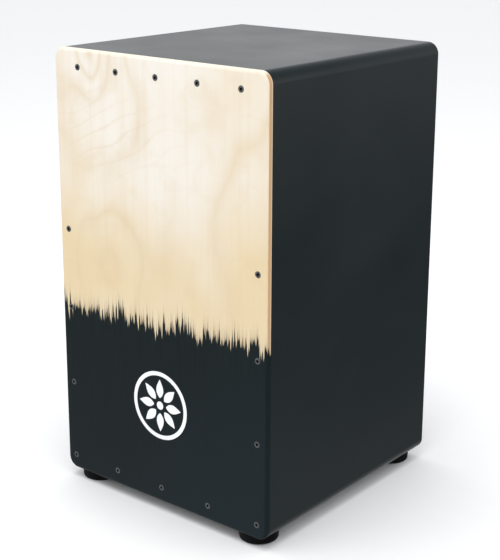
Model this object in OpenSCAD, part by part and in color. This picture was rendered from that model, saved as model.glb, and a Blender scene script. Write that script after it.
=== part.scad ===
// Cajon: a box drum with a screwed-on playing plate, a rear sound hole and tunable snare strings.
// Millimetres. +Z is up and -Y is the front, where the playing plate is.
// The origin is on the floor, under the middle of the box.

/* [Box] */
// Width of the box
body_w = 290; // [280:1:320]
// Depth of the box, playing plate included
body_d = 296; // [285:1:330]
// Height of the box without its feet
body_h = 480; // [450:1:520]
// Thickness of the side, top and bottom panels
panel_t = 12; // [12:0.5:15]
// Radius of the box's long outer edges
edge_r = 13; // [9:0.5:13]
// Depth of the rebates that the panels sit in
rebate = 6; // [5:0.5:6]

/* [Playing plate] */
// Thickness of the playing plate
plate_t = 5; // [3:0.1:6]
// Screws along the top edge
top_screw_count = 5; // [3:2:7]
// Screws along the bottom edge
bottom_screw_count = 5; // [3:2:5]
// Screws on each side edge
side_screw_count = 3; // [1:1:3]
// Distance of the side and corner screws from the side edges
side_margin = 13; // [12:0.1:14]
// Distance of the outermost top screws from the side edges
top_row_inset = 34.6; // [30:0.1:40]
// Distance of the top row from the top edge
top_margin = 19.4; // [17:0.1:20]
// Distance of the bottom row from the bottom edge
bottom_margin = 16.7; // [16:0.1:18]

/* [Back panel] */
// Thickness of the back panel
back_t = 6; // [5:0.5:6]
// Diameter of the sound hole
hole_d = 120; // [90:1:130]
// Height of the sound hole's centre above the bottom of the box
hole_z = 290; // [250:1:330]

/* [Feet] */
// Diameter of a foot
foot_d = 42; // [36:1:44]
// Height of a foot
foot_h = 11; // [11:0.5:14]
// Distance of a foot's centre from the side of the box
foot_inset_x = 29; // [26:0.5:34]
// Distance of a foot's centre from the front and rear of the box
foot_inset_y = 24; // [24:0.5:30]
// Radius of a foot's lower edge
foot_edge_r = 3.5; // [2:0.5:4]

/* [Snare] */
// Distance of the tension bolt's axis from the front face
bolt_y_inset = 36; // [34:1:44]
// Height of the tension block's underside above the bottom of the box, at rest
block_z = 62; // [50:1:80]
// Height of the snare bridge's middle above the bottom of the box
bridge_z = 365; // [340:1:390]
// Diameter of a snare string
string_d = 1.0; // [0.8:0.1:1.2]

/* [Hidden] */
$fn = 96;
eps = 0.01;

// The box's faces
half_w = body_w / 2;
front_y = -body_d / 2;
rear_y = body_d / 2;
plate_back_y = front_y + plate_t;
box_z0 = foot_h;
box_z1 = foot_h + body_h;
inner_x = half_w - panel_t;
inner_z0 = box_z0 + panel_t;
inner_z1 = box_z1 - panel_t;

// The frame parts reach into the rebates, as far as these lines
seat_x = half_w - panel_t + rebate;
seat_z0 = box_z0 + panel_t - rebate;
seat_z1 = box_z1 - panel_t + rebate;

// Front frame
frame_w = 24;
frame_d = 16;
frame_back_y = plate_back_y + frame_d;
rail_z0 = seat_z0 + frame_w;
rail_z1 = seat_z1 - frame_w;
stile_x = seat_x - frame_w;

// Rear battens and corner blocks
batten = 16;
back_y = rear_y - back_t;
batten_y = back_y - batten;
corner_block = 15;

// Plate screws: countersunk M4 with a 2.5 mm hexagon socket
screw_r = 2;
screw_l = 16;
head_r = 3.4;
head_rim = 0.3;
socket_af = 2.5;
socket_depth = 1.5;
screw_hole_r = 2.2;
head_seat_r = 3.55;
insert_r = 3.2;
insert_bore_r = 2.05;
insert_l = 10;
insert_hole_r = 3.25;
insert_hole_l = 13;

// Places of the plate screws, as [x, z]
row_z0 = box_z0 + bottom_margin;
row_z1 = box_z1 - top_margin;
row_pitch = (row_z1 - row_z0) / 5;
corner_x = half_w - side_margin;
top_x = half_w - top_row_inset;
top_spots = [for (i = [0:top_screw_count - 1]) [-top_x + i * 2 * top_x / (top_screw_count - 1), row_z1]];
bottom_spots = [
    for (i = [0:bottom_screw_count - 1])
        [-corner_x + i * 2 * corner_x / (bottom_screw_count - 1), row_z0]
];
left_spots = [for (i = [1:side_screw_count]) [-corner_x, row_z0 + i * row_pitch]];
right_spots = [for (i = [1:side_screw_count]) [corner_x, row_z0 + i * row_pitch]];
all_spots = concat(top_spots, bottom_spots, left_spots, right_spots);

// Feet and their fixings
foot_x = half_w - foot_inset_x;
foot_y = rear_y - foot_inset_y;
foot_recess_r = 8;
foot_recess_h = 6;
foot_bore_r = 2.3;
washer_r = 7;
washer_t = 1;
foot_screw_r = 2;
foot_screw_l = 17;
foot_head_r = 4;
foot_head_h = 2.5;
pilot_gap = 0.05;
pilot_floor = 1;
foot_spots = [[-foot_x, -foot_y], [foot_x, -foot_y], [foot_x, foot_y], [-foot_x, foot_y]];

// Tension bolt (M6, 1 mm pitch) and what it turns in
bolt_y = front_y + bolt_y_inset;
bolt_r = 3;
bolt_head_r = 5;
bolt_head_h = 6;
bolt_socket_af = 5;
bolt_socket_depth = 3;
play = 0.3;
run_gap = 0.05;
bush_r = 4.5;
bush_flange_r = 6.5;
bush_flange_h = 1;
bolt_pocket_r = 6.6;
bolt_pocket_h = 7.5;
bush_z0 = box_z0 + bolt_pocket_h - bush_flange_h;
bolt_head_z1 = bush_z0 - play;
collar_r = 6;
collar_h = 6;

// Tension block and its guide rods
block_half_w = 32;
block_h = 14;
block_d = 16;
block_z0 = box_z0 + block_z;
block_z1 = block_z0 + block_h;
bolt_past_block = 6;
bolt_z1 = block_z1 + bolt_past_block;
rod_r = 2.5;
rod_x = 25;
rod_socket_floor = 3;
rod_past_block = 10;
rod_z0 = box_z0 + rod_socket_floor;
rod_z1 = block_z1 + rod_past_block;

// Snare strings: x places at the anchor bar and at the tension block
string_r = string_d / 2;
string_hole_r = string_r + 0.3;
anchor_x = [60, 72];
block_x = [8, 18];
bar_half_w = 85;
bar_h = 12;
bar_gap = 0.5;
bar_y0 = plate_back_y + bar_gap;
bar_d = 9;
bar_z0 = rail_z1 - bar_h;
string_y = bar_y0 + bar_d / 2;
ball_r = 1.9;
ball_h = 4;
ball_pocket_r = 2.1;
ball_pocket_h = 5;
ferrule_r = 1.75;
ferrule_h = 6;
anchor_screw_x = 30;
anchor_screw_r = 1.75;
anchor_screw_l = 25;
anchor_head_r = 3.5;
anchor_head_h = 2.2;

// Snare bridge: its nose holds the strings just behind the plate
bridge_mid_z = box_z0 + bridge_z;
string_front_gap = 0.4;
string_bridge_y = plate_back_y + string_front_gap + string_r;
string_back_gap = 0.3;
bridge_nose_y = string_bridge_y + string_r + string_back_gap;
bridge_nose_half_h = 1;
bridge_nose_d = 3;
bridge_half_h = 5;
bridge_d = 12;

// Colours
pale_wood = [0.93, 0.86, 0.75];
satin_black = [0.15, 0.17, 0.18];
spruce = [0.82, 0.68, 0.48];
beech = [0.76, 0.58, 0.40];
black_rubber = [0.05, 0.05, 0.05];
black_steel = [0.10, 0.10, 0.11];
zinc = [0.75, 0.76, 0.78];
brass = [0.80, 0.66, 0.35];

// ---- shared shapes ----

// A box between two corners.
module block(low, high) {
    translate(low) cube(high - low);
}

// The box's outline, seen from the front: a rectangle with round corners.
module outline() {
    translate([-half_w + edge_r, box_z0]) square([body_w - 2 * edge_r, body_h]);
    translate([-half_w, box_z0 + edge_r]) square([body_w, body_h - 2 * edge_r]);
    for (x = [-half_w + edge_r, half_w - edge_r], z = [box_z0 + edge_r, box_z1 - edge_r])
        translate([x, z]) circle(r = edge_r);
}

// Draws a front-view shape as a solid from y0 back to y1.
module along_y(y0, y1) {
    translate([0, y1, 0]) rotate([90, 0, 0]) linear_extrude(y1 - y0) children();
}

// The part of the box's full shell between two corners, seen from the front.
module shell_part(low, high) {
    along_y(plate_back_y, rear_y) intersection() {
        outline();
        translate(low) square(high - low);
    }
}

// The space that the front frame fills.
module front_frame_space() {
    block([-seat_x, plate_back_y - eps, seat_z0], [seat_x, frame_back_y, seat_z1]);
}

// The space that the back panel fills.
module back_panel_space() {
    block([-seat_x, back_y, seat_z0], [seat_x, rear_y + eps, seat_z1]);
}

// Children placed at each spot on the plate, pointing back into the box.
module at_plate(spots) {
    for (p = spots) translate([p[0], front_y, p[1]]) rotate([-90, 0, 0]) children();
}

// Blind holes in the front frame for the threaded inserts.
module insert_holes(spots) {
    at_plate(spots) translate([0, 0, plate_t - eps]) cylinder(r = insert_hole_r, h = insert_hole_l + eps);
}

// A straight ten-sided wire between two points.
module wire(from, to, r) {
    d = to - from;
    translate(from)
        rotate([0, acos(d[2] / norm(d)), atan2(d[1], d[0])])
            cylinder(r = r, h = norm(d), $fn = 10);
}

// A pan-head screw, pointing up, with the underside of its head at z = 0.
module pan_screw(r, length, head_radius, head_height) {
    slot_w = head_radius / 4;
    slot_l = head_radius * 1.2;
    difference() {
        union() {
            cylinder(r = r, h = length);
            translate([0, 0, -head_height]) cylinder(r1 = head_radius * 0.8, r2 = head_radius, h = head_height);
        }
        for (turn = [0, 90])
            rotate([0, 0, turn])
                translate([-slot_l / 2, -slot_w / 2, -head_height - eps])
                    cube([slot_l, slot_w, head_height * 0.6]);
    }
}

// A side panel on the +X side: full height, with rebates on its inner face.
module side_panel() {
    difference() {
        shell_part([inner_x, box_z0], [half_w, box_z1]);
        block([inner_x - eps, front_y, box_z0 - eps], [seat_x, rear_y + eps, inner_z0]);
        block([inner_x - eps, front_y, inner_z1], [seat_x, rear_y + eps, box_z1 + eps]);
        front_frame_space();
        back_panel_space();
    }
}

// ---- the box ----

module front_plate() {
    color(pale_wood)
    difference() {
        along_y(front_y, plate_back_y) outline();
        at_plate(all_spots) {
            translate([0, 0, -eps]) cylinder(r = screw_hole_r, h = plate_t + 2 * eps);
            translate([0, 0, -eps]) cylinder(r = head_seat_r, h = head_rim + 2 * eps);
            translate([0, 0, head_rim])
                cylinder(r1 = head_seat_r, r2 = screw_hole_r, h = head_seat_r - screw_hole_r);
        }
    }
}

module right_side() {
    color(satin_black) side_panel();
}

module left_side() {
    color(satin_black) mirror([1, 0, 0]) side_panel();
}

module top_panel() {
    color(satin_black)
    difference() {
        shell_part([-seat_x, inner_z1], [seat_x, box_z1]);
        front_frame_space();
        back_panel_space();
    }
}

module bottom_panel() {
    color(satin_black)
    difference() {
        shell_part([-seat_x, box_z0], [seat_x, inner_z0]);
        front_frame_space();
        back_panel_space();
        for (p = foot_spots)
            translate([p[0], p[1], box_z0 - eps])
                cylinder(r = foot_screw_r + pilot_gap, h = panel_t - pilot_floor + eps);
        translate([0, bolt_y, box_z0 - eps]) cylinder(r = bolt_pocket_r, h = bolt_pocket_h + eps);
        translate([0, bolt_y, box_z0]) cylinder(r = bush_r + pilot_gap, h = panel_t + eps);
        for (x = [-rod_x, rod_x])
            translate([x, bolt_y, rod_z0]) cylinder(r = rod_r + pilot_gap, h = panel_t);
    }
}

module back_panel() {
    color(satin_black)
    difference() {
        block([-seat_x, back_y, seat_z0], [seat_x, rear_y, seat_z1]);
        translate([0, back_y - eps, box_z0 + hole_z])
            rotate([-90, 0, 0])
                cylinder(d = hole_d, h = back_t + 2 * eps);
    }
}

// ---- the front frame ----

module top_rail() {
    color(spruce)
    difference() {
        block([-seat_x, plate_back_y, rail_z1], [seat_x, frame_back_y, seat_z1]);
        insert_holes(top_spots);
        for (x = [-anchor_screw_x, anchor_screw_x])
            translate([x, string_y, rail_z1 - eps])
                cylinder(r = anchor_screw_r + pilot_gap, h = anchor_screw_l - bar_h + 1);
    }
}

module bottom_rail() {
    color(spruce)
    difference() {
        block([-seat_x, plate_back_y, seat_z0], [seat_x, frame_back_y, rail_z0]);
        insert_holes(bottom_spots);
    }
}

module left_stile() {
    color(spruce)
    difference() {
        block([-seat_x, plate_back_y, rail_z0], [-stile_x, frame_back_y, rail_z1]);
        insert_holes(left_spots);
    }
}

module right_stile() {
    color(spruce)
    difference() {
        block([stile_x, plate_back_y, rail_z0], [seat_x, frame_back_y, rail_z1]);
        insert_holes(right_spots);
    }
}

// ---- the battens and blocks inside the box ----

module rear_top_batten() {
    color(spruce) block([-inner_x, batten_y, inner_z1 - batten], [inner_x, back_y, inner_z1]);
}

module rear_bottom_batten() {
    color(spruce) block([-inner_x, batten_y, inner_z0], [inner_x, back_y, inner_z0 + batten]);
}

module rear_right_batten() {
    color(spruce)
        block([inner_x - batten, batten_y, inner_z0 + batten], [inner_x, back_y, inner_z1 - batten]);
}

module rear_left_batten() {
    mirror([1, 0, 0]) rear_right_batten();
}

// A long glue block in the upper right inside corner.
module upper_right_block() {
    color(spruce)
        block(
            [inner_x - corner_block, frame_back_y, inner_z1 - corner_block],
            [inner_x, batten_y, inner_z1]
        );
}

module upper_left_block() {
    mirror([1, 0, 0]) upper_right_block();
}

// A long glue block in the lower right inside corner.
module lower_right_block() {
    color(spruce)
        block(
            [inner_x - corner_block, frame_back_y, inner_z0],
            [inner_x, batten_y, inner_z0 + corner_block]
        );
}

module lower_left_block() {
    mirror([1, 0, 0]) lower_right_block();
}

// ---- the plate's screws ----

module plate_screws() {
    neck = head_rim + head_r - screw_r;
    color(black_steel)
    at_plate(all_spots) difference() {
        rotate_extrude()
            polygon([[0, 0], [head_r, 0], [head_r, head_rim], [screw_r, neck], [screw_r, screw_l], [0, screw_l]]);
        translate([0, 0, -eps]) cylinder(r = socket_af / sqrt(3), h = socket_depth + eps, $fn = 6);
    }
}

module threaded_inserts() {
    color(brass)
    at_plate(all_spots) translate([0, 0, plate_t]) difference() {
        cylinder(r = insert_r, h = insert_l);
        translate([0, 0, -eps]) cylinder(r = insert_bore_r, h = insert_l + 2 * eps);
    }
}

// ---- the feet ----

// A rubber foot: its lower edge is rounded, and a recess underneath hides its screw.
module foot(spot) {
    steps = 8;
    side = [
        for (i = [0:steps])
            [foot_d / 2 - foot_edge_r * (1 - sin(90 * i / steps)), foot_edge_r * (1 - cos(90 * i / steps))]
    ];
    color(black_rubber)
    translate([spot[0], spot[1], 0])
    difference() {
        rotate_extrude() polygon(concat([[0, 0]], side, [[foot_d / 2, foot_h], [0, foot_h]]));
        translate([0, 0, -eps]) cylinder(r = foot_recess_r, h = foot_recess_h + eps);
        cylinder(r = foot_bore_r, h = foot_h + eps);
    }
}

module front_left_foot() {
    foot(foot_spots[0]);
}

module front_right_foot() {
    foot(foot_spots[1]);
}

module rear_right_foot() {
    foot(foot_spots[2]);
}

module rear_left_foot() {
    foot(foot_spots[3]);
}

module foot_washers() {
    color(zinc)
    for (p = foot_spots)
        translate([p[0], p[1], foot_recess_h - washer_t])
            difference() {
                cylinder(r = washer_r, h = washer_t);
                translate([0, 0, -eps]) cylinder(r = foot_bore_r, h = washer_t + 2 * eps);
            }
}

module foot_screws() {
    color(zinc)
    for (p = foot_spots)
        translate([p[0], p[1], foot_recess_h - washer_t])
            pan_screw(foot_screw_r, foot_screw_l, foot_head_r, foot_head_h);
}

// ---- the snare ----

// A bar under the top rail that holds the upper ends of the strings.
module snare_anchor_bar() {
    color(beech)
    difference() {
        block([-bar_half_w, bar_y0, bar_z0], [bar_half_w, bar_y0 + bar_d, rail_z1]);
        for (side = [-1, 1], x = anchor_x)
            translate([side * x, string_y, bar_z0 - eps]) {
                cylinder(r = string_hole_r, h = bar_h);
                translate([0, 0, bar_h - ball_pocket_h + eps]) cylinder(r = ball_pocket_r, h = ball_pocket_h + eps);
            }
        for (x = [-anchor_screw_x, anchor_screw_x])
            translate([x, string_y, bar_z0 - eps])
                cylinder(r = anchor_screw_r + pilot_gap, h = bar_h + 2 * eps);
    }
}

module anchor_screws() {
    color(zinc)
    for (x = [-anchor_screw_x, anchor_screw_x])
        translate([x, string_y, bar_z0])
            pan_screw(anchor_screw_r, anchor_screw_l, anchor_head_r, anchor_head_h);
}

// A cross bar with a narrow nose, between the stiles.
module snare_bridge() {
    y0 = bridge_nose_y;
    y1 = y0 + bridge_nose_d;
    y2 = y0 + bridge_d;
    color(beech)
    translate([-stile_x, 0, bridge_mid_z])
        rotate([90, 0, 90])
            linear_extrude(2 * stile_x)
                polygon([
                    [y0, -bridge_nose_half_h], [y1, -bridge_half_h], [y2, -bridge_half_h],
                    [y2, bridge_half_h], [y1, bridge_half_h], [y0, bridge_nose_half_h]
                ]);
}

// Four wires in a V, from the anchor bar over the bridge to the tension block.
module snare_strings() {
    share = (bar_z0 - bridge_mid_z) / (bar_z0 - block_z1);
    color(zinc)
    for (side = [-1, 1], i = [0, 1]) {
        top = side * anchor_x[i];
        low = side * block_x[i];
        at_bar = [top, string_y, bar_z0];
        at_bridge = [top + share * (low - top), string_bridge_y, bridge_mid_z];
        at_block = [low, bolt_y, block_z1];
        union() {
            wire(at_bar, [top, string_y, rail_z1 - ball_pocket_h], string_r);
            wire(at_bridge, at_bar, string_r);
            wire(at_block, at_bridge, string_r);
            wire([low, bolt_y, block_z0], at_block, string_r);
        }
    }
}

module string_ball_ends() {
    color(brass)
    for (side = [-1, 1], x = anchor_x)
        translate([side * x, string_y, rail_z1 - ball_pocket_h]) cylinder(r = ball_r, h = ball_h);
}

// A block that slides on two rods and is pulled down by the tension bolt.
module tension_block() {
    color(beech)
    difference() {
        block([-block_half_w, bolt_y - block_d / 2, block_z0], [block_half_w, bolt_y + block_d / 2, block_z1]);
        translate([0, bolt_y, block_z0 - eps]) cylinder(r = bolt_r + run_gap, h = block_h + 2 * eps);
        for (x = [-rod_x, rod_x])
            translate([x, bolt_y, block_z0 - eps]) cylinder(r = rod_r + run_gap, h = block_h + 2 * eps);
        for (side = [-1, 1], x = block_x)
            translate([side * x, bolt_y, block_z0 - eps]) cylinder(r = string_hole_r, h = block_h + 2 * eps);
    }
}

module string_ferrules() {
    color(brass)
    for (side = [-1, 1], x = block_x)
        translate([side * x, bolt_y, block_z0 - ferrule_h]) cylinder(r = ferrule_r, h = ferrule_h);
}

// A socket-head bolt, head down in the bottom panel.
module tension_bolt() {
    head_z0 = bolt_head_z1 - bolt_head_h;
    color(zinc)
    translate([0, bolt_y, 0])
    difference() {
        union() {
            translate([0, 0, head_z0]) cylinder(r = bolt_head_r, h = bolt_head_h);
            translate([0, 0, head_z0]) cylinder(r = bolt_r, h = bolt_z1 - head_z0);
        }
        translate([0, 0, head_z0 - eps])
            cylinder(r = bolt_socket_af / sqrt(3), h = bolt_socket_depth + eps, $fn = 6);
    }
}

module tension_bush() {
    color(brass)
    translate([0, bolt_y, bush_z0])
    difference() {
        union() {
            cylinder(r = bush_flange_r, h = bush_flange_h);
            cylinder(r = bush_r, h = inner_z0 - bush_z0);
        }
        translate([0, 0, -eps]) cylinder(r = bolt_r + run_gap, h = panel_t);
    }
}

module bolt_collar() {
    color(zinc)
    translate([0, bolt_y, inner_z0 + play])
    difference() {
        cylinder(r = collar_r, h = collar_h);
        translate([0, 0, -eps]) cylinder(r = bolt_r + run_gap, h = collar_h + 2 * eps);
    }
}

module guide_rods() {
    color(zinc)
    for (x = [-rod_x, rod_x])
        translate([x, bolt_y, rod_z0]) cylinder(r = rod_r, h = rod_z1 - rod_z0);
}

front_plate();
left_side();
right_side();
top_panel();
bottom_panel();
back_panel();
top_rail();
bottom_rail();
left_stile();
right_stile();
rear_top_batten();
rear_bottom_batten();
rear_left_batten();
rear_right_batten();
upper_left_block();
upper_right_block();
lower_left_block();
lower_right_block();
plate_screws();
threaded_inserts();
front_left_foot();
front_right_foot();
rear_right_foot();
rear_left_foot();
foot_washers();
foot_screws();
snare_anchor_bar();
anchor_screws();
snare_bridge();
snare_strings();
string_ball_ends();
tension_block();
string_ferrules();
tension_bolt();
tension_bush();
bolt_collar();
guide_rods();
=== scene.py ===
import math

import bmesh
import bpy
from mathutils import Matrix, Vector
from mathutils.geometry import delaunay_2d_cdt


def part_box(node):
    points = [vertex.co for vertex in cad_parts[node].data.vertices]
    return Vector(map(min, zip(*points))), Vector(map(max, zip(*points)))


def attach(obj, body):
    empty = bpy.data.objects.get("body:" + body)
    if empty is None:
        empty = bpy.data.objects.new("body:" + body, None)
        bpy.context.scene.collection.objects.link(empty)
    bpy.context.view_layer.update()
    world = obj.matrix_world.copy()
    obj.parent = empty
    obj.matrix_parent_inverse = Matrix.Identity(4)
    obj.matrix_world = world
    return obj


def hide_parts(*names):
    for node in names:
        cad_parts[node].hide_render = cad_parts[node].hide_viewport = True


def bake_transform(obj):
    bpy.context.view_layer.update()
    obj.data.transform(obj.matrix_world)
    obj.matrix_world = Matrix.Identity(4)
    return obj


# Looks of the cajon: a box drum with a dip-stained playing plate, satin black panels and a tunable snare.
# Metres, in the frame of the CAD model: +Z up, -Y the front, origin on the floor under the middle.

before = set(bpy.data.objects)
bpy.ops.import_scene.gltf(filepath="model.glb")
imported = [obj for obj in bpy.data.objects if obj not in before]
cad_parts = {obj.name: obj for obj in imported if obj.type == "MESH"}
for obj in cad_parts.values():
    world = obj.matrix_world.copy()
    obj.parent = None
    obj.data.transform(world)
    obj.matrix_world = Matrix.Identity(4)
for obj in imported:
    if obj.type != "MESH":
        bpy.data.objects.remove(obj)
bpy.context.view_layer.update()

MM = 0.001
CABINET = "cabinet"

# ---------------------------------------------------------------------------------------------
# Sizes that the detailed pieces share
# ---------------------------------------------------------------------------------------------

BODY_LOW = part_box("left_side")[0].copy()
BODY_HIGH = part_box("right_side")[1].copy()
BODY_LOW.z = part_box("bottom_panel")[0].z
BODY_HIGH.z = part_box("top_panel")[1].z
PLATE_LOW, PLATE_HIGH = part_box("front_plate")
INNER_X = -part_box("left_side")[1].x
INNER_LOW_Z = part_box("bottom_panel")[1].z
INNER_HIGH_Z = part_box("top_panel")[0].z
FRAME_BACK_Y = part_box("top_rail")[1].y
BACK_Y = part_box("back_panel")[0].y
MID_Z = (BODY_LOW.z + BODY_HIGH.z) / 2

# How far the rebates reach that take the front frame and the back panel
REBATE_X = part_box("top_panel")[1].x
REBATE_LOW_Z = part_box("back_panel")[0].z
REBATE_HIGH_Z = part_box("back_panel")[1].z

EDGE_R = 13 * MM          # long outer edges of the box and corners of the plate
PLATE_ARRIS = 3.8 * MM    # rounded front edge of the plate
PLATE_BACK_EASE = 0.3 * MM
PANEL_ARRIS = 0.9 * MM    # softened front and rear edges of the box
ARC_STEPS = 16            # segments in a quarter circle of the outline
WELD = 1e-7               # points closer than this are one point
SMOOTH_ANGLE = math.radians(32)


# ---------------------------------------------------------------------------------------------
# Mesh helpers
# ---------------------------------------------------------------------------------------------

def quarter(steps):
    """Angles from 0 to a right angle, both ends included."""
    return [math.pi / 2 * i / steps for i in range(steps + 1)]


def circle(radius, segments, centre=(0.0, 0.0)):
    """Points of a circle in a plane, counter-clockwise."""
    step = 2 * math.pi / segments
    return [
        (centre[0] + radius * math.cos(i * step), centre[1] + radius * math.sin(i * step))
        for i in range(segments)
    ]


def outline(inset):
    """The box's outline seen from the front, as (x, z) points, moved inwards by inset."""
    radius = EDGE_R - inset
    loop = []
    for corner, (sx, sz) in enumerate([(1, 1), (-1, 1), (-1, -1), (1, -1)]):
        cx = sx * (BODY_HIGH.x - EDGE_R)
        cz = MID_Z + sz * (BODY_HIGH.z - MID_Z - EDGE_R)
        for angle in quarter(ARC_STEPS):
            turn = angle + corner * math.pi / 2
            loop.append((cx + radius * math.cos(turn), cz + radius * math.sin(turn)))
    return loop


def standing(loop, y):
    """(x, z) points set upright at a depth y."""
    return [Vector((x, y, z)) for x, z in loop]


def loft(bm, rings, cap_first=True, cap_last=True, material=0):
    """Quads between rings of equal length. Each end that is capped is closed by one face."""
    made = [[bm.verts.new(point) for point in ring] for ring in rings]
    count = len(made[0])
    faces = []
    for ring, following in zip(made, made[1:]):
        for i in range(count):
            j = (i + 1) % count
            faces.append(bm.faces.new((ring[i], ring[j], following[j], following[i])))
    if cap_first:
        faces.append(bm.faces.new(list(reversed(made[0]))))
    if cap_last:
        faces.append(bm.faces.new(made[-1]))
    for face in faces:
        face.material_index = material


def hexagon(across_flats, per_side):
    """Points along a hexagon's edge, evenly spaced on each side."""
    corners = circle(across_flats / math.sqrt(3), 6)
    loop = []
    for (ax, ay), (bx, by) in zip(corners, corners[1:] + corners[:1]):
        for i in range(per_side):
            share = i / per_side
            loop.append((ax + (bx - ax) * share, ay + (by - ay) * share))
    return loop


def piece(name, bm, materials, replaces, body=CABINET, weighted=True):
    """Turns a bmesh into a piece of the object: welded, shaded, with its materials, riding on its body."""
    bmesh.ops.remove_doubles(bm, verts=bm.verts, dist=WELD)
    bmesh.ops.dissolve_degenerate(bm, edges=bm.edges, dist=WELD)
    bmesh.ops.recalc_face_normals(bm, faces=bm.faces)
    mesh = bpy.data.meshes.new(name)
    bm.to_mesh(mesh)
    bm.free()
    for material in materials:
        mesh.materials.append(material)
    mesh.shade_smooth()
    mesh.set_sharp_from_angle(angle=SMOOTH_ANGLE)
    obj = bpy.data.objects.new(name, mesh)
    bpy.context.scene.collection.objects.link(obj)
    if weighted:
        normals = obj.modifiers.new("normals", "WEIGHTED_NORMAL")
        normals.keep_sharp = True
        normals.weight = 100
    if body:
        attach(obj, body)
    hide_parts(*replaces)
    return obj


def solids(node):
    """The centre of each separate solid in a CAD node."""
    bm = bmesh.new()
    bm.from_mesh(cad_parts[node].data)
    bmesh.ops.remove_doubles(bm, verts=bm.verts, dist=WELD)
    left, centres = set(bm.verts), []
    while left:
        group, front = set(), [next(iter(left))]
        while front:
            v = front.pop()
            if v not in group:
                group.add(v)
                front.extend(e.other_vert(v) for e in v.link_edges)
        left -= group
        low = Vector(min(v.co[i] for v in group) for i in range(3))
        high = Vector(max(v.co[i] for v in group) for i in range(3))
        centres.append((low + high) / 2)
    bm.free()
    return sorted(centres, key=lambda c: (round(c.z, 5), round(c.x, 5), round(c.y, 5)))


def eased(node, width, material):
    """Softens a CAD node's edges with modifiers and gives it a material."""
    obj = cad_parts[node]
    weld = obj.modifiers.new("weld", "WELD")
    weld.merge_threshold = 1e-6
    bevel = obj.modifiers.new("ease", "BEVEL")
    bevel.width = width
    bevel.segments = 2
    bevel.limit_method = "ANGLE"
    bevel.angle_limit = math.radians(50)
    normals = obj.modifiers.new("normals", "WEIGHTED_NORMAL")
    normals.keep_sharp = True
    finish_node(node, material)


def finish_node(node, material):
    """Gives a CAD node a material."""
    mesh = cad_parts[node].data
    mesh.materials.clear()
    mesh.materials.append(material)


# ---------------------------------------------------------------------------------------------
# Material helper
# ---------------------------------------------------------------------------------------------

class Paint:
    """A material with one Principled BSDF, and short ways to wire nodes into it."""

    def __init__(self, name, **uniform):
        self.material = bpy.data.materials.new(name)
        self.material.use_nodes = True
        self.tree = self.material.node_tree
        self.shader = self.tree.nodes["Principled BSDF"]
        for key, value in uniform.items():
            self.shader.inputs[key.replace("_", " ")].default_value = value
        self.place = self.node("ShaderNodeTexCoord").outputs["Object"]
        split = self.node("ShaderNodeSeparateXYZ", {0: self.place})
        self.x, self.y, self.z = split.outputs

    def node(self, kind, inputs=None, **settings):
        made = self.tree.nodes.new(kind)
        for key, value in settings.items():
            setattr(made, key, value)
        for key, value in (inputs or {}).items():
            if isinstance(value, bpy.types.NodeSocket):
                self.tree.links.new(value, made.inputs[key])
            else:
                made.inputs[key].default_value = value
        return made

    def math(self, operation, *values, clamp=False):
        inputs = dict(enumerate(values))
        return self.node("ShaderNodeMath", inputs, operation=operation, use_clamp=clamp).outputs[0]

    def noise(self, scale, detail=2.0, roughness=0.5, distortion=0.0, offset=(0.0, 0.0, 0.0)):
        """Noise in the object's space. The scale, one number or one for each axis, is in cells a metre."""
        if not isinstance(scale, tuple):
            scale = (scale, scale, scale)
        mapping = {"Vector": self.place, "Scale": scale, "Location": offset}
        inputs = {"Vector": self.node("ShaderNodeMapping", mapping).outputs[0], "Scale": 1.0}
        inputs |= {"Detail": detail, "Roughness": roughness, "Distortion": distortion}
        return self.node("ShaderNodeTexNoise", inputs).outputs[0]

    def noise_along_x(self, scale, detail=1.0, offset=0.0):
        """Noise that changes along X only."""
        inputs = {"W": self.math("ADD", self.x, offset), "Scale": scale, "Detail": detail, "Roughness": 0.5}
        return self.node("ShaderNodeTexNoise", inputs, noise_dimensions="1D").outputs[0]

    def between(self, value, low, high, smooth=True):
        """0 at low, 1 at high, and level beyond both. Low may be the larger number."""
        return self.node(
            "ShaderNodeMapRange",
            {"Value": value, "From Min": low, "From Max": high},
            interpolation_type="SMOOTHSTEP" if smooth else "LINEAR",
        ).outputs[0]

    def spread(self, value, low, high, to_low, to_high):
        """Maps a number from one range to another."""
        return self.node(
            "ShaderNodeMapRange",
            {"Value": value, "From Min": low, "From Max": high, "To Min": to_low, "To Max": to_high},
        ).outputs[0]

    def mix(self, share, first, second, blend="MIX"):
        made = self.node("ShaderNodeMix", data_type="RGBA", blend_type=blend)
        for key, value in (("Factor_Float", share), ("A_Color", first), ("B_Color", second)):
            socket = next(s for s in made.inputs if s.identifier == key)
            if isinstance(value, bpy.types.NodeSocket):
                self.tree.links.new(value, socket)
            else:
                socket.default_value = value if key == "Factor_Float" else (*value, 1.0)[:4]
        return next(s for s in made.outputs if s.identifier == "Result_Color")

    def bump(self, height, distance, strength=1.0, over=None):
        inputs = {"Height": height, "Distance": distance, "Strength": strength}
        if over is not None:
            inputs["Normal"] = over
        return self.node("ShaderNodeBump", inputs).outputs[0]

    def use(self, **sockets):
        """Links sockets into the shader, and returns the material."""
        for key, value in sockets.items():
            self.tree.links.new(value, self.shader.inputs[key.replace("_", " ")])
        return self.material


def hill(p, x, z, half_w, half_h):
    """A soft round hill of height 1 on the front face, at a place (x, z)."""
    across = p.math("DIVIDE", p.math("SUBTRACT", p.x, x), half_w)
    along = p.math("DIVIDE", p.math("SUBTRACT", p.z, z), half_h)
    square = p.math("ADD", p.math("MULTIPLY", across, across), p.math("MULTIPLY", along, along))
    return p.math("EXPONENT", p.math("MULTIPLY", square, -1.0))


# ---------------------------------------------------------------------------------------------
# Materials
# ---------------------------------------------------------------------------------------------

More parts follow.
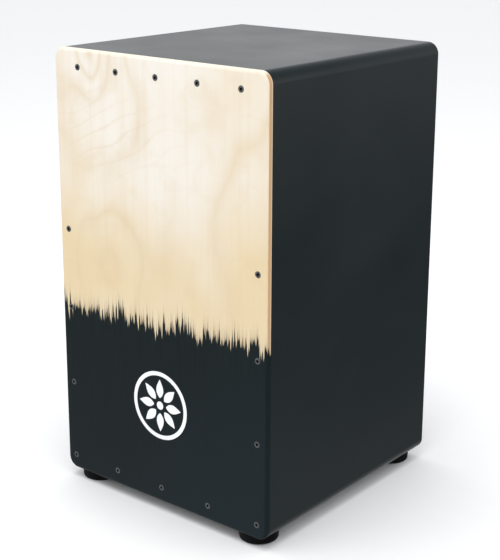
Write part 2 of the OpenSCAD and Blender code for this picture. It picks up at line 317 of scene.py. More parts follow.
FIBRE_NOISE = (900, 900, 18), 4.0, 0.62      # scale along each axis, detail, roughness
STREAK_NOISE = (170, 170, 3.5), 3.0, 0.6
PALE, WARM, TAN = (0.835, 0.785, 0.712), (0.755, 0.610, 0.385), (0.690, 0.530, 0.320)
ARCH_AT = -75 * MM, 262 * MM       # the arch in the veneer's figure, low on the left
FACE_PLY, CORE_PLY = 1.0 * MM, 2.7 * MM
PLY_BLUR = 0.08 * MM
DIP_Z = BODY_LOW.z + 182 * MM      # height of the stain's edge in the middle of the plate

# The figure's field: hills of (x, z, half width, half height) in millimetres, and their strength
FIGURE_HILLS = (
    ((-75, 262, 52, 72), 1.9),
    ((-90, 492, 20, 40), 1.7),
    ((150, 330, 60, 150), 1.3),
)

# The stain's edge: rows of needles as (noise offset, cells a metre, sharpness, rise in millimetres)
NEEDLES = (
    (3.7, 120, 2.0, 13),
    (8.2, 290, 3.0, 9),
    (6.4, 200, 2.5, -9),
    (1.3, 700, 2.0, 5),
)


def veneer(p, fibres):
    """Pale rotary-cut veneer: soft rings as contour lines of a field, thin veins and fine streaks."""
    field = p.math("MULTIPLY", p.noise((8.0, 8.0, 4.5), 2.0, 0.5, 0.5, offset=(3.1, 0, 0.46)), 3.2)
    for place, share in FIGURE_HILLS:
        field = p.math("MULTIPLY_ADD", hill(p, *(MM * value for value in place)), share, field)
    rings = p.math("POWER", p.math("PINGPONG", p.math("MULTIPLY", field, 2.2), 1.0), 2.6)
    strength = p.noise((9, 9, 7), 1.0, offset=(0.3, 0, 2.2))
    arch = hill(p, *ARCH_AT, 62 * MM, 85 * MM)
    figure = p.math("MULTIPLY", rings, p.math("ADD", p.between(strength, 0.25, 0.62), arch, clamp=True))

    # The wood is warmer in patches, in the arch, to the right and near both side edges, and it is painted
    # darker and warmer low down as painted shade for the weaker light there
    patches = p.noise((15, 15, 9), 3.0, 0.55, 0.4, offset=(0.7, 0, 0.2))
    warmth_and_shade = p.math("MULTIPLY_ADD", patches, 0.9, -0.42)
    warmth_and_shade = p.math("MULTIPLY_ADD", arch, 0.40, warmth_and_shade)
    warmth_and_shade = p.math("ADD", p.x, warmth_and_shade)
    # Painted shade: darker, warmer wood low on the plate, where less light falls
    warmth_and_shade = p.math("MULTIPLY_ADD", p.between(p.z, 410 * MM, 235 * MM), 0.75, warmth_and_shade)
    warmth_and_shade = p.math("MULTIPLY_ADD", p.between(p.math("ABSOLUTE", p.x), 60 * MM, BODY_HIGH.x), 0.30, warmth_and_shade)
    wood = p.mix(p.between(warmth_and_shade, 0.0, 1.0, smooth=False), PALE, WARM)

    # Thin veins that climb to the right, on the upper left
    slope, wander, pitch = -0.4, 55 * MM, 15 * MM
    climb = p.math("MULTIPLY_ADD", p.x, slope, p.z)
    climb = p.math("MULTIPLY_ADD", p.noise(12, 1.0, 0.4, offset=(4.4, 0, 0.9)), wander, climb)
    veins = p.between(p.math("PINGPONG", p.math("DIVIDE", climb, pitch), 0.5), 0.14, 0.0)
    veins = p.math("MULTIPLY", veins, hill(p, -60 * MM, 405 * MM, 80 * MM, 38 * MM))

    streaks = p.between(p.noise(*STREAK_NOISE), 0.45, 0.75)
    flame = p.between(p.noise((30, 30, 42), 2.5, 0.5, 0.8, offset=(0.0, 0, 1.3)), 0.48, 0.66)
    for mark, depth in ((figure, 0.50), (veins, 0.26), (streaks, 0.16), (flame, 0.13)):
        wood = p.mix(p.math("MULTIPLY", mark, depth), wood, TAN)
    return p.mix(p.math("MULTIPLY", p.between(fibres, 0.52, 0.80), 0.14), wood, (0.56, 0.42, 0.26))


def plies(p, face, depth):
    """The plate's three plies, seen on its edge and in the screw seats."""
    end_grain = p.between(p.noise((500, 2500, 500), 3.0, 0.6), 0.35, 0.7)
    # The core's grain runs across, so its end grain shows dark on the upright edges; the paler core and back
    # ply on the top and bottom edges are also painted light, standing in for the strong light on the top edge
    upright = p.between(p.math("ABSOLUTE", p.x), BODY_HIGH.x - 9 * MM, BODY_HIGH.x - 3 * MM)
    core = p.mix(upright, (0.88, 0.81, 0.70), (0.54, 0.33, 0.165))
    core = p.mix(p.math("MULTIPLY", end_grain, 0.35), core, (0.50, 0.30, 0.15))
    # Painted light: the back ply too is paler on the top and bottom edges
    back = p.mix(upright, (0.86, 0.78, 0.66), (0.66, 0.53, 0.37))
    wobble = p.math("MULTIPLY", p.math("SUBTRACT", p.noise(60, 2.0), 0.5), 0.25 * MM)
    layer = p.math("ADD", depth, wobble)
    wood = p.mix(p.between(layer, FACE_PLY, FACE_PLY + PLY_BLUR), face, core)
    glue = FACE_PLY + CORE_PLY
    return p.mix(p.between(layer, glue, glue + PLY_BLUR), wood, back)


def dip_stain(p, fibres, depth):
    """Shares of the black stain and of the brown wash above it. The stain climbs along the fibres in
    needles, and the wood drips down between them."""
    line = p.math("MULTIPLY_ADD", p.x, 0.055, DIP_Z)
    line = p.math("MULTIPLY_ADD", p.noise_along_x(60.0, 2.0), 22 * MM, line)
    reach = p.spread(p.noise_along_x(34.0, offset=5.1), 0.3, 0.7, 0.6, 1.3)
    jag = 0.0
    for offset, cells, sharpness, rise in NEEDLES:
        ridge = p.math("ABSOLUTE", p.math("MULTIPLY_ADD", p.noise_along_x(cells, offset=offset), 3.2, -1.6))
        needle = p.math("POWER", p.math("SUBTRACT", 1.0, ridge, clamp=True), sharpness)
        jag = p.math("MULTIPLY_ADD", needle, rise * MM, jag)
    line = p.math("MULTIPLY_ADD", jag, reach, line)
    line = p.math("MULTIPLY_ADD", p.math("SUBTRACT", fibres, 0.5), 26 * MM, line)
    above = p.math("SUBTRACT", p.z, line)
    feather = p.spread(p.noise_along_x(230.0, offset=1.9), 0.3, 0.7, 0.8 * MM, 5 * MM)
    stain = p.math("SUBTRACT", 1.0, p.between(p.math("DIVIDE", above, feather), -0.3, 1.0))
    wash = p.math("SUBTRACT", 1.0, p.between(above, -2 * MM, 18 * MM))
    wash = p.math("MULTIPLY", wash, p.between(fibres, 0.30, 0.65))
    # The back of the plate, inside the box, stays bare
    outside = p.math("LESS_THAN", depth, PLATE_HIGH.y - PLATE_LOW.y - 0.15 * MM)
    return p.math("MULTIPLY", stain, outside), p.math("MULTIPLY", wash, outside)


def plate_wood():
    """The playing plate: veneer over an orange core, stained black below a ragged dipped edge."""
    p = Paint("plate_wood")
    depth = p.math("SUBTRACT", p.y, PLATE_LOW.y)
    fibres = p.noise(*FIBRE_NOISE)
    stain, wash = dip_stain(p, fibres, depth)
    wood = plies(p, veneer(p, fibres), depth)
    black = p.mix(p.between(fibres, 0.35, 0.75), (0.0042, 0.0095, 0.0115), (0.0080, 0.0145, 0.0165))
    # Painted light: the black is lighter and bluer towards the lower right
    lower_right_painted_light = p.between(p.math("SUBTRACT", p.x, p.z), -160 * MM, 90 * MM)
    black = p.mix(lower_right_painted_light, black, (0.0075, 0.0150, 0.0190))
    colour = p.mix(p.math("MULTIPLY", wash, 0.72), wood, (0.36, 0.28, 0.19))
    colour = p.mix(stain, colour, black)

    relief = p.bump(fibres, 0.03 * MM, 0.35)
    relief = p.bump(p.noise(*STREAK_NOISE), 0.10 * MM, 0.25, over=relief)
    rough = p.math("MULTIPLY_ADD", fibres, 0.10, p.math("MULTIPLY_ADD", stain, -0.05, 0.40))
    shine = p.math("MULTIPLY_ADD", stain, -0.24, 0.42)
    return p.use(Base_Color=colour, Normal=relief, Roughness=rough, Specular_IOR_Level=shine)


def emblem_white():
    """Screen-printed white, a little uneven where the grain shows through."""
    p = Paint("emblem_white", Specular_IOR_Level=0.4)
    grain = p.noise(*FIBRE_NOISE)
    specks = p.noise(1500, 2.0)
    colour = p.mix(p.between(grain, 0.45, 0.85), (0.90, 0.91, 0.93), (0.80, 0.82, 0.85))
    rough = p.spread(specks, 0.3, 0.7, 0.38, 0.5)
    return p.use(Base_Color=colour, Roughness=rough, Normal=p.bump(grain, 0.03 * MM, 0.35))


def black_lacquer():
    """Satin black lacquer on fibreboard, bare inside the box."""
    p = Paint("black_lacquer", Specular_IOR_Level=0.5)
    peel = p.noise(520, 2.0, 0.5)
    cloud = p.noise(9, 3.0, 0.55)
    specks = p.noise(2600, 1.0)
    black = p.mix(p.between(cloud, 0.3, 0.7), (0.0044, 0.0104, 0.0120), (0.0064, 0.0130, 0.0146))
    black = p.mix(p.math("MULTIPLY", p.between(specks, 0.66, 0.78), 0.35), black, (0.045, 0.05, 0.052))
    # The inside of the box, a box-shaped region with a little margin, is bare board
    margin = 0.2 * MM
    off_x = p.math("SUBTRACT", p.math("ABSOLUTE", p.x), INNER_X + margin)
    from_middle = p.math("ABSOLUTE", p.math("SUBTRACT", p.z, MID_Z))
    off_z = p.math("SUBTRACT", from_middle, INNER_HIGH_Z - MID_Z + margin)
    off_y = p.math("SUBTRACT", p.y, BACK_Y + margin)
    bare = p.math("LESS_THAN", p.math("MAXIMUM", p.math("MAXIMUM", off_x, off_z), off_y), 0.0)
    flecks = p.noise(700, 4.0, 0.7)
    board = p.mix(p.between(flecks, 0.3, 0.7), (0.30, 0.19, 0.105), (0.42, 0.285, 0.17))
    colour = p.mix(bare, black, board)
    rough = p.spread(cloud, 0.3, 0.7, 0.34, 0.40)
    rough = p.math("MULTIPLY_ADD", bare, 0.4, rough, clamp=True)
    relief = p.bump(peel, 0.05 * MM, 0.10)
    return p.use(Base_Color=colour, Roughness=rough, Normal=relief)


def sawn_wood(name, light, dark, ring_pitch, grain_axis):
    """Bare planed wood with growth rings and pores along one axis."""
    p = Paint(name, Specular_IOR_Level=0.3)
    along, across = 0.05, 2.0
    stretch = [along if axis == grain_axis else across for axis in "xyz"]
    wander = p.math("MULTIPLY", p.noise(tuple(12 * scale for scale in stretch), 2.0), 9.0)
    across_rings = p.math("MULTIPLY_ADD", p.math("ADD", p.x, p.y), 1 / ring_pitch, wander)
    rings = p.math("PINGPONG", across_rings, 1.0)
    pores = p.noise(tuple(420 * scale for scale in stretch), 3.0, 0.6)
    colour = p.mix(p.math("POWER", rings, 2.0), light, dark)
    pore_colour = tuple(c * 0.55 for c in dark)
    colour = p.mix(p.math("MULTIPLY", p.between(pores, 0.5, 0.8), 0.45), colour, pore_colour)
    rough = p.spread(pores, 0.3, 0.7, 0.55, 0.75)
    return p.use(Base_Color=colour, Roughness=rough, Normal=p.bump(pores, 0.08 * MM, 0.4))


def foot_rubber():
    """Matt moulded rubber with a fine pebble and dusty patches."""
    p = Paint("foot_rubber", Specular_IOR_Level=0.12)
    pebble = p.noise(1600, 3.0, 0.6)
    dust = p.noise(90, 4.0, 0.6)
    colour = p.mix(p.between(dust, 0.45, 0.8), (0.0035, 0.0035, 0.0038), (0.0090, 0.0088, 0.0085))
    rough = p.spread(dust, 0.3, 0.7, 0.55, 0.78)
    return p.use(Base_Color=colour, Roughness=rough, Normal=p.bump(pebble, 0.05 * MM, 0.35))


def metal(name, colour, mark_scale):
    """Metal with fine turning marks and faint stains."""
    p = Paint(name, Metallic=1.0)
    marks = p.noise(mark_scale, 3.0, 0.6)
    stain = p.noise(160, 3.0, 0.6)
    tint = p.mix(p.between(stain, 0.4, 0.75), colour, tuple(c * 0.75 for c in colour))
    shine = p.spread(marks, 0.3, 0.7, 0.22, 0.40)
    return p.use(Base_Color=tint, Roughness=shine, Normal=p.bump(marks, 0.01 * MM, 0.12))


def black_oxide(name, dark, worn_bright):
    """Blackened steel, worn in specks."""
    p = Paint(name, Metallic=0.7, Specular_IOR_Level=0.5)
    worn = p.noise(1300, 3.0, 0.6)
    colour = p.mix(p.between(worn, 0.42, 0.72), dark, worn_bright)
    rough = p.spread(worn, 0.3, 0.7, 0.34, 0.52)
    return p.use(Base_Color=colour, Roughness=rough, Normal=p.bump(worn, 0.01 * MM, 0.3))


def wound_wire():
    """A wound steel string: fine turns across its length, painted dark between the turns as painted shade."""
    p = Paint("wound_wire", Metallic=1.0)
    pitch = 0.35 * MM
    turns = p.math("SINE", p.math("MULTIPLY", p.z, 2 * math.pi / pitch))
    crest_vs_shaded_groove = p.between(turns, -1.0, 0.2)
    # Painted shade: the colour is dark in the hollows between the turns
    colour = p.mix(crest_vs_shaded_groove, (0.22, 0.22, 0.23), (0.62, 0.61, 0.58))
    rough = p.spread(crest_vs_shaded_groove, 0.0, 1.0, 0.5, 0.28)
    return p.use(Base_Color=colour, Roughness=rough, Normal=p.bump(turns, 0.05 * MM, 0.5))


def floor_paper():
    """Pale studio paper."""
    p = Paint("floor_paper", Specular_IOR_Level=0.2)
    tooth = p.noise(40, 4.0, 0.6)
    colour = p.mix(tooth, (0.93, 0.93, 0.93), (0.95, 0.95, 0.95))
    rough = p.spread(tooth, 0.3, 0.7, 0.85, 0.95)
    return p.use(Base_Color=colour, Roughness=rough)


PLATE_WOOD = plate_wood()
EMBLEM_WHITE = emblem_white()
BLACK_LACQUER = black_lacquer()
SPRUCE_LOOK = (0.62, 0.46, 0.28), (0.46, 0.29, 0.145), 4 * MM      # light, dark, ring pitch
SPRUCE_TALL = sawn_wood("spruce_tall", *SPRUCE_LOOK, "z")
SPRUCE_WIDE = sawn_wood("spruce_wide", *SPRUCE_LOOK, "x")
SPRUCE_DEEP = sawn_wood("spruce_deep", *SPRUCE_LOOK, "y")
BEECH = sawn_wood("beech", (0.52, 0.31, 0.17), (0.40, 0.22, 0.11), 7 * MM, "x")
FOOT_RUBBER = foot_rubber()
ZINC = metal("zinc_steel", (0.55, 0.56, 0.58), 1500)
BRASS = metal("turned_brass", (0.60, 0.43, 0.17), (200, 200, 3000))
BLACK_OXIDE = black_oxide("black_oxide", (0.105, 0.110, 0.115), (0.230, 0.235, 0.240))
# Painted shade: a near-black copy of the oxide for the inside of the screw sockets
SOCKET_SHADE = black_oxide("socket_painted_shade", (0.004, 0.004, 0.004), (0.012, 0.012, 0.012))
WOUND_WIRE = wound_wire()


# ---------------------------------------------------------------------------------------------
# Flat plates with holes
# ---------------------------------------------------------------------------------------------

def inside_loop(point, loop):
    """True if a point lies inside a closed loop."""
    x, z = point
    hit = False
    for (ax, az), (bx, bz) in zip(loop, loop[1:] + loop[:1]):
        if (az > z) != (bz > z) and x < (bx - ax) * (z - az) / (bz - az) + ax:
            hit = not hit
    return hit


def flat_face(bm, y, rim, holes, marks=()):
    """Fills a rim with triangles at depth y, leaving the holes open. A mark has the second material, and a
    mark inside a mark has the first again."""
    points, edges = [], []
    for loop in [rim, *holes, *marks]:
        first = len(points)
        points += [Vector(p) for p in loop]
        edges += [(first + i, first + (i + 1) % len(loop)) for i in range(len(loop))]
    found, _, triangles, *_ = delaunay_2d_cdt(points, edges, [], 0, 1e-9)
    made = [bm.verts.new((p.x, y, p.y)) for p in found]
    for triangle in triangles:
        middle = sum((found[i] for i in triangle), Vector((0, 0))) / 3
        if any(inside_loop(middle, hole) for hole in holes):
            continue
        face = bm.faces.new([made[i] for i in triangle])
        face.material_index = sum(inside_loop(middle, mark) for mark in marks) % 2


def pierced_plate(bm, rim_loop, rim_profile, holes, marks=(), segments=32):
    """A plate in the XZ plane. The rim's and each hole's profile run from the front face to the back face."""
    rings = [standing(rim_loop(inset), y) for inset, y in rim_profile]
    loft(bm, rings, cap_first=False, cap_last=False)
    for centre, profile in holes:
        rings = [standing(circle(r, segments, centre), y) for r, y in profile]
        loft(bm, rings, cap_first=False, cap_last=False)
    for end, shown in ((0, marks), (-1, ())):
        inset, y = rim_profile[end]
        open_loops = [circle(profile[end][0], segments, centre) for centre, profile in holes]
        flat_face(bm, y, rim_loop(inset), open_loops, shown)


# ---------------------------------------------------------------------------------------------
# The playing plate
# ---------------------------------------------------------------------------------------------

EMBLEM_CENTRE = (0.0, BODY_LOW.z + 112 * MM)
EMBLEM_R = 38 * MM
EMBLEM_RING = 4.6 * MM
PETALS = 8
PETAL_FROM, PETAL_TO, PETAL_HALF_W = 8.5 * MM, 29.5 * MM, 5.0 * MM
EMBLEM_EYE_R = 4.6 * MM

# The screw seats: radius at the face, depth of the straight rim, and radius of the hole behind
SEAT_R, SEAT_RIM, HOLE_R = 3.55 * MM, 0.3 * MM, 2.2 * MM


def petal(angle, steps=14):
    """A pointed petal of the rosette: its sides are sine arches."""
    loop = []
    for side, order in ((1, range(steps)), (-1, range(steps, 0, -1))):
        for i in order:
            share = i / steps
            reach = PETAL_FROM + (PETAL_TO - PETAL_FROM) * share
            off = side * PETAL_HALF_W * math.sin(math.pi * share ** 0.8)
            loop.append((
                EMBLEM_CENTRE[0] + reach * math.cos(angle) - off * math.sin(angle),
                EMBLEM_CENTRE[1] + reach * math.sin(angle) + off * math.cos(angle),
            ))
    return loop


def playing_plate():
    """The plate: rounded front edge, screw seats, and a plain rosette printed on the black."""
    front, back = PLATE_LOW.y, PLATE_HIGH.y
    rim = [(PLATE_ARRIS * (1 - math.sin(a)), front + PLATE_ARRIS * (1 - math.cos(a))) for a in quarter(10)]
    rim += [(0.0, back - PLATE_BACK_EASE), (PLATE_BACK_EASE, back)]
    seat = [
        (SEAT_R + 0.15 * MM, front),
        (SEAT_R, front + 0.15 * MM),
        (SEAT_R, front + SEAT_RIM),
        (HOLE_R, front + SEAT_RIM + SEAT_R - HOLE_R),
        (HOLE_R, back),
    ]
    holes = [((c.x, c.z), seat) for c in solids("plate_screws")]
    marks = [
        circle(EMBLEM_R, 96, EMBLEM_CENTRE),
        circle(EMBLEM_R - EMBLEM_RING, 96, EMBLEM_CENTRE),
        circle(EMBLEM_EYE_R, 32, EMBLEM_CENTRE),
        *[petal(2 * math.pi * i / PETALS) for i in range(PETALS)],
    ]
    bm = bmesh.new()
    pierced_plate(bm, outline, rim, holes, marks)
    piece("playing_plate", bm, [PLATE_WOOD, EMBLEM_WHITE], replaces=["front_plate"])


playing_plate()


# ---------------------------------------------------------------------------------------------
# The box's panels
# ---------------------------------------------------------------------------------------------

def corner_arc(inset, first, last, steps=10):
    """Points of the upper right corner's arc, from one place on it to another. The arc runs from "side" to
    "top", and the side panel meets the seat panel at "seam"."""
    radius = EDGE_R - inset
    centre_x, centre_z = BODY_HIGH.x - EDGE_R, BODY_HIGH.z - EDGE_R
    angles = {"side": 0.0, "seam": math.acos((REBATE_X - centre_x) / radius), "top": math.pi / 2}
    points = []
    for i in range(steps + 1):
        turn = angles[first] + (angles[last] - angles[first]) * i / steps
        points.append((centre_x + radius * math.cos(turn), centre_z + radius * math.sin(turn)))
    return points


def side_section(rebated, inset):
    """Section of the +X side panel: rebated where it takes the front frame and the back panel."""
    inner = REBATE_X if rebated else INNER_X
    upper = corner_arc(inset, "side", "seam")
    lower = [(x, 2 * MID_Z - z) for x, z in reversed(upper)]
    steps = [(REBATE_X, INNER_HIGH_Z), (inner, INNER_HIGH_Z), (inner, INNER_LOW_Z), (REBATE_X, INNER_LOW_Z)]
    return lower + upper + steps


def top_section(rebated, inset):
    """Section of the seat panel: thinner where it covers the front frame and the back panel."""
    under = REBATE_HIGH_Z if rebated else INNER_HIGH_Z
    right = corner_arc(inset, "seam", "top")
    left = [(-x, z) for x, z in reversed(right)]
    return [(REBATE_X, under), *right, *left, (-REBATE_X, under)]


def shell_panel(name, section, node, flip_x=False, flip_z=False):
    """One panel of the box, drawn from front to back, with softened ends."""
    front, back = PLATE_HIGH.y, BODY_HIGH.y
    ease = [(PANEL_ARRIS * (1 - math.sin(a)), PANEL_ARRIS * (1 - math.cos(a))) for a in quarter(4)]
    stations = [(front + dy, True, inset) for inset, dy in ease]
    stations += [(FRAME_BACK_Y, True, 0.0), (FRAME_BACK_Y, False, 0.0)]
    stations += [(BACK_Y, False, 0.0), (BACK_Y, True, 0.0)]
    stations += [(back - dy, True, inset) for inset, dy in reversed(ease)]
    bm = bmesh.new()
    loft(bm, [standing(section(rebated, inset), y) for y, rebated, inset in stations])
    if flip_x:
        bmesh.ops.scale(bm, vec=(-1, 1, 1), verts=bm.verts)
    if flip_z:
        bmesh.ops.translate(bm, vec=(0, 0, -MID_Z), verts=bm.verts)
        bmesh.ops.scale(bm, vec=(1, 1, -1), verts=bm.verts)
        bmesh.ops.translate(bm, vec=(0, 0, MID_Z), verts=bm.verts)
    return piece(name, bm, [BLACK_LACQUER], replaces=[node])


shell_panel("right_side_panel", side_section, "right_side")
shell_panel("left_side_panel", side_section, "left_side", flip_x=True)
shell_panel("seat_panel", top_section, "top_panel")


def rectangle(inset=0.0):
    """The back panel's outline."""
    x, z0, z1 = REBATE_X - inset, REBATE_LOW_Z + inset, REBATE_HIGH_Z - inset
    return [(x, z1), (-x, z1), (-x, z0), (x, z0)]


def rear_panel():
    """The back panel, with the sound hole's edges rounded over."""
    front, back = BACK_Y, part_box("back_panel")[1].y
    centre = (0.0, BODY_LOW.z + 290 * MM)
    hole_r, hole_ease = 60 * MM, 2.0 * MM
    arc = [(hole_ease * (1 - math.sin(a)), hole_ease * (1 - math.cos(a))) for a in quarter(6)]
    hole = [(hole_r + off, front + dy) for off, dy in arc]
    hole += [(hole_r + off, back - dy) for off, dy in reversed(arc)]
    gap = 0.15 * MM
    rim = [(0.0, front), (0.0, back - gap), (gap, back)]
    bm = bmesh.new()
    pierced_plate(bm, rectangle, rim, [(centre, hole)], segments=96)
    piece("rear_panel", bm, [BLACK_LACQUER], replaces=["back_panel"])


rear_panel()
finish_node("bottom_panel", BLACK_LACQUER)


# ---------------------------------------------------------------------------------------------
# The wooden frame inside
# ---------------------------------------------------------------------------------------------

for name in ("left_stile", "right_stile", "rear_left_batten", "rear_right_batten"):
    eased(name, 0.5 * MM, SPRUCE_TALL)
for name in ("top_rail", "bottom_rail", "rear_top_batten", "rear_bottom_batten"):
    eased(name, 0.5 * MM, SPRUCE_WIDE)
for name in ("upper_left_block", "upper_right_block", "lower_left_block", "lower_right_block"):
    eased(name, 0.7 * MM, SPRUCE_DEEP)
for name in ("snare_anchor_bar", "snare_bridge", "tension_block"):
    eased(name, 0.5 * MM, BEECH)


# ---------------------------------------------------------------------------------------------
# Screws
# ---------------------------------------------------------------------------------------------

def socket_rings(across_flats, depth, mouth_r, sides):
    """A hexagon socket's rings, from its floor out to its chamfered mouth, as (points, depth)."""
    per_side = sides // 6
    return [
        (hexagon(across_flats * 0.55, per_side), depth),
        (hexagon(across_flats, per_side), depth - 0.15 * MM),
        (hexagon(across_flats, per_side), 0.25 * MM),
        (circle(mouth_r, sides), 0.0),
    ]


def plate_screws():
    """Countersunk socket screws: chamfered mouth, soft rim, plain shank with a chamfered end."""
    sides = 36
    length, head_r, shank_r = 16 * MM, 3.4 * MM, 2.0 * MM
    bm = bmesh.new()
    for c in solids("plate_screws"):
        placed = Matrix.Translation((c.x, PLATE_LOW.y, c.z)) @ Matrix.Rotation(-math.pi / 2, 4, "X")
        socket = socket_rings(2.5 * MM, 1.5 * MM, 1.62 * MM, sides)
        shape = [
            socket[-1],
            (circle(head_r - 0.28 * MM, sides), 0.0),
            (circle(head_r - 0.07 * MM, sides), 0.07 * MM),
            (circle(head_r, sides), 0.22 * MM),
            (circle(head_r - 0.02 * MM, sides), 0.32 * MM),
            (circle(shank_r, sides), 1.7 * MM),
            (circle(shank_r, sides), length - 0.6 * MM),
            (circle(shank_r - 0.5 * MM, sides), length),
        ]
        for part, is_socket in ((socket, True), (shape, False)):
            rings = [[placed @ Vector((x, y, h)) for x, y in points] for points, h in part]
            loft(bm, rings, cap_first=is_socket, cap_last=not is_socket, material=int(is_socket))
    metals = [BLACK_OXIDE, SOCKET_SHADE]
    piece("plate_screw_set", bm, metals, replaces=["plate_screws"], weighted=False)


plate_screws()
for name in ("foot_washers", "foot_screws", "anchor_screws", "bolt_collar", "guide_rods"):
    finish_node(name, ZINC)
for name in ("threaded_inserts", "tension_bush", "string_ball_ends", "string_ferrules"):
    finish_node(name, BRASS)


# ---------------------------------------------------------------------------------------------
# Feet
# ---------------------------------------------------------------------------------------------

def rubber_foot(node):
    """A moulded foot: rounded tread edge, a soft shoulder, and the recess that hides its screw."""
    low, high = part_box(node)
    middle = (low + high) / 2
    radius, height = (high.x - low.x) / 2, high.z - low.z
    edge, shoulder, chamfer = 3.5 * MM, 0.6 * MM, 0.5 * MM
    recess_r, recess_h, bore_r = 8 * MM, 6 * MM, 2.3 * MM
    # (radius, height) pairs, from the bore down the recess and round the outside
    profile = [(bore_r, height), (bore_r, recess_h), (recess_r - chamfer, recess_h)]
    profile += [(recess_r, recess_h - chamfer), (recess_r, chamfer), (recess_r + chamfer, 0.0)]
    profile += [(radius - edge * (1 - math.sin(a)), edge * (1 - math.cos(a))) for a in quarter(10)]
    profile += [(radius, height - shoulder), (radius - 0.2 * MM, height - 0.2 * MM)]
    profile += [(radius - shoulder, height), profile[0]]
    rings = [[Vector((x, y, low.z + h)) for x, y in circle(r, 64, middle)] for r, h in profile]
    bm = bmesh.new()
    loft(bm, rings, cap_first=False, cap_last=False)
    piece(node.replace("_foot", "_rubber_foot"), bm, [FOOT_RUBBER], replaces=[node])


for name in ("front_left_foot", "front_right_foot", "rear_right_foot", "rear_left_foot"):
    rubber_foot(name)


# ---------------------------------------------------------------------------------------------
# The snare
# ---------------------------------------------------------------------------------------------

def tube(bm, route, radius, sides=10):
    """A round tube along a route that mostly runs along Z."""
    rings = []
    for i, point in enumerate(route):
        along = (route[min(i + 1, len(route) - 1)] - route[max(i - 1, 0)]).normalized()
        across = along.cross(Vector((0, 1, 0))).normalized()
        other = along.cross(across)
        rings.append([point + across * x + other * y for x, y in circle(radius, sides)])
    loft(bm, rings)


def snare_strings():
    """Four wound strings from the anchor bar over the bridge's nose to the tension block."""
    low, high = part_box("snare_strings")
    bar, bridge, block = (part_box(node) for node in ("snare_anchor_bar", "snare_bridge", "tension_block"))
    radius = 0.5 * MM
    bar_y, bar_z = (bar[0].y + bar[1].y) / 2, bar[0].z
    bridge_y, bridge_z = low.y + radius, (bridge[0].z + bridge[1].z) / 2
    block_y, block_z = (block[0].y + block[1].y) / 2, block[1].z
    share = (bar_z - bridge_z) / (bar_z - block_z)
    tops = sorted(c.x for c in solids("string_ball_ends"))
    lows = sorted(c.x for c in solids("string_ferrules"))
    bm = bmesh.new()
    for top, foot in zip(tops, lows):
        corners = [
            Vector((top, bar_y, high.z)),
            Vector((top, bar_y, bar_z)),
            Vector((top + share * (foot - top), bridge_y, bridge_z)),
            Vector((foot, block_y, block_z)),
            Vector((foot, block_y, low.z)),
        ]
        route = []
        for a, b in zip(corners, corners[1:]):
            route += [a.lerp(b, i / 12) for i in range(12)]
        tube(bm, [*route, corners[-1]], radius)
    nodes = ["snare_strings"]
    strings = piece("wound_strings", bm, [WOUND_WIRE], body=None, replaces=nodes)
    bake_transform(strings)


def tension_bolt():
    """An M6 socket-head bolt, head down, with a real thread above its plain neck."""
    low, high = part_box("tension_bolt")
    foot = Vector(((low.x + high.x) / 2, (low.y + high.y) / 2, low.z))
    sides, pitch, steps = 36, 1.0 * MM, 6
    length = high.z - low.z
    head_h, head_r, core_r, crest_r = 6 * MM, 5 * MM, 2.45 * MM, 3.0 * MM
    thread_from = 20 * MM
    shape = socket_rings(5 * MM, 3 * MM, 3.0 * MM, sides)
    shape += [
        (circle(4.5 * MM, sides), 0.0),
        (circle(4.85 * MM, sides), 0.15 * MM),
        (circle(head_r, sides), 0.5 * MM),
        (circle(head_r, sides), head_h - 0.2 * MM),
        (circle(head_r - 0.2 * MM, sides), head_h),
        (circle(crest_r, sides), head_h),
        (circle(crest_r, sides), thread_from),
    ]
    rows = int((length - thread_from) / pitch * steps)
    for row in range(1, rows):
        h = thread_from + row * pitch / steps
        run_in = min(1.0, row / steps, (rows - row) / steps)
        points = []
        for i, (x, y) in enumerate(circle(1.0, sides)):
            phase = (h / pitch - i / sides) % 1.0
            flank = abs(2 * phase - 1)
            r = crest_r - (crest_r - core_r) * run_in * (1 - flank)
            points.append((x * r, y * r))
        shape.append((points, h))
    shape.append((circle(core_r, sides), length))
    bm = bmesh.new()
    loft(bm, [[foot + Vector((x, y, h)) for x, y in points] for points, h in shape])
    nodes = ["tension_bolt"]
    piece("snare_bolt", bm, [ZINC], body="tension_bolt", replaces=nodes, weighted=False)


snare_strings()
tension_bolt()


# ---------------------------------------------------------------------------------------------
# Studio
# ---------------------------------------------------------------------------------------------

def studio_floor():
    """A wide sheet of paper. Reflections see the studio's world in its place."""
    half = 12.0
    bm = bmesh.new()
    loop = [(-half, -half), (half, -half), (half, half), (-half, half)]
    bm.faces.new([bm.verts.new((x, y, 0.0)) for x, y in loop])
    mesh = bpy.data.meshes.new("studio_floor")
    bm.to_mesh(mesh)
    bm.free()
    mesh.materials.append(floor_paper())
    floor = bpy.data.objects.new("studio_floor", mesh)
    bpy.context.scene.collection.objects.link(floor)
    floor.visible_glossy = False


def softbox(name, place, target, width, height, power):
    """A rectangular light at a place, facing a target."""
    light = bpy.data.lights.new(name, "AREA")
    light.shape = "RECTANGLE"
    light.size, light.size_y = width, height
    light.energy = power
    obj = bpy.data.objects.new(name, light)
    bpy.context.scene.collection.objects.link(obj)
    obj.location = place
    obj.rotation_euler = (Vector(target) - Vector(place)).to_track_quat("-Z", "Y").to_euler()


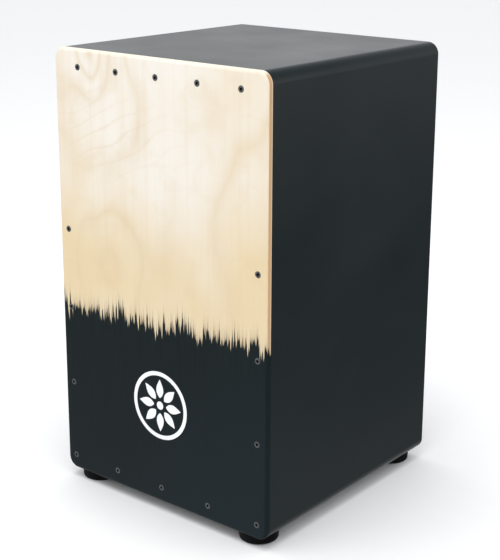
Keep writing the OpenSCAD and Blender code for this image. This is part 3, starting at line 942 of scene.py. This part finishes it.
def studio_world():
    """A white studio. Reflections see a bright backdrop at eye level, a dim ceiling, and a dark band between
    the backdrop and a paler floor."""
    # What reflections see, as (height, brightness): 0 is straight down, 0.5 the horizon and 1 straight up
    stops = (
        (0.0, 0.15), (0.26, 0.75), (0.33, 0.06), (0.38, 0.10),
        (0.47, 1.0), (0.66, 1.0), (0.74, 0.25), (1.0, 0.2),
    )
    white = (0.97, 0.985, 1.0)
    world = bpy.data.worlds.new("studio")
    world.use_nodes = True
    nodes, links = world.node_tree.nodes, world.node_tree.links
    plain = nodes["Background"]
    plain.inputs["Color"].default_value = (*white, 1.0)

    split = nodes.new("ShaderNodeSeparateXYZ")
    height = nodes.new("ShaderNodeMapRange")
    ramp = nodes.new("ShaderNodeValToRGB")
    strength = nodes.new("ShaderNodeMapRange")
    mirrored = nodes.new("ShaderNodeBackground")
    height.inputs["From Min"].default_value = -1.0
    # The right side, +X, is dimmer
    for key, value in (("From Min", -0.2), ("From Max", 0.45), ("To Min", 1.16), ("To Max", 0.42)):
        strength.inputs[key].default_value = value
    while len(ramp.color_ramp.elements) < len(stops):
        ramp.color_ramp.elements.new(0.5)
    for element, (at, level) in zip(ramp.color_ramp.elements, stops):
        element.position = at
        element.color = (*(level * c for c in white), 1.0)
    links.new(nodes.new("ShaderNodeTexCoord").outputs["Generated"], split.inputs[0])
    links.new(split.outputs[2], height.inputs["Value"])
    links.new(height.outputs[0], ramp.inputs[0])
    links.new(ramp.outputs[0], mirrored.inputs["Color"])
    links.new(split.outputs[0], strength.inputs["Value"])
    links.new(strength.outputs[0], mirrored.inputs["Strength"])

    both = nodes.new("ShaderNodeMixShader")
    links.new(nodes.new("ShaderNodeLightPath").outputs["Is Glossy Ray"], both.inputs[0])
    links.new(plain.outputs[0], both.inputs[1])
    links.new(mirrored.outputs[0], both.inputs[2])
    links.new(both.outputs[0], nodes["World Output"].inputs["Surface"])
    bpy.context.scene.world = world


def studio_lights():
    """Two soft lights, one overhead and a faint one on the right, in a white room."""
    softbox("overhead", (0.0, -0.5, 2.2), (0.0, 0.0, 0.25), 1.6, 1.6, 22)
    softbox("right", (1.9, 1.05, 0.5), (0.145, -0.1, 0.4), 1.0, 0.7, 1.8)
    studio_world()
    bpy.context.scene.view_settings.view_transform = "Standard"


def camera():
    """The photograph's viewing angle."""
    azimuth, elevation, roll = math.radians(38.69), math.radians(15.52), math.radians(0.37)
    target, distance = Vector((0.0179, 0.0, 0.279)), 1.4267
    back = Vector((
        math.sin(azimuth) * math.cos(elevation),
        -math.cos(azimuth) * math.cos(elevation),
        math.sin(elevation),
    ))
    data = bpy.data.cameras.new("camera")
    data.sensor_width = 36.0
    data.lens = 83.02
    data.shift_x, data.shift_y = -0.0208, -0.0750
    obj = bpy.data.objects.new("camera", data)
    bpy.context.scene.collection.objects.link(obj)
    obj.location = target + back * distance
    level = back.to_track_quat("Z", "Y")
    obj.rotation_mode = "QUATERNION"
    obj.rotation_quaternion = level @ Matrix.Rotation(roll, 4, "Z").to_quaternion()
    bpy.context.scene.camera = obj


studio_floor()
studio_lights()
camera()
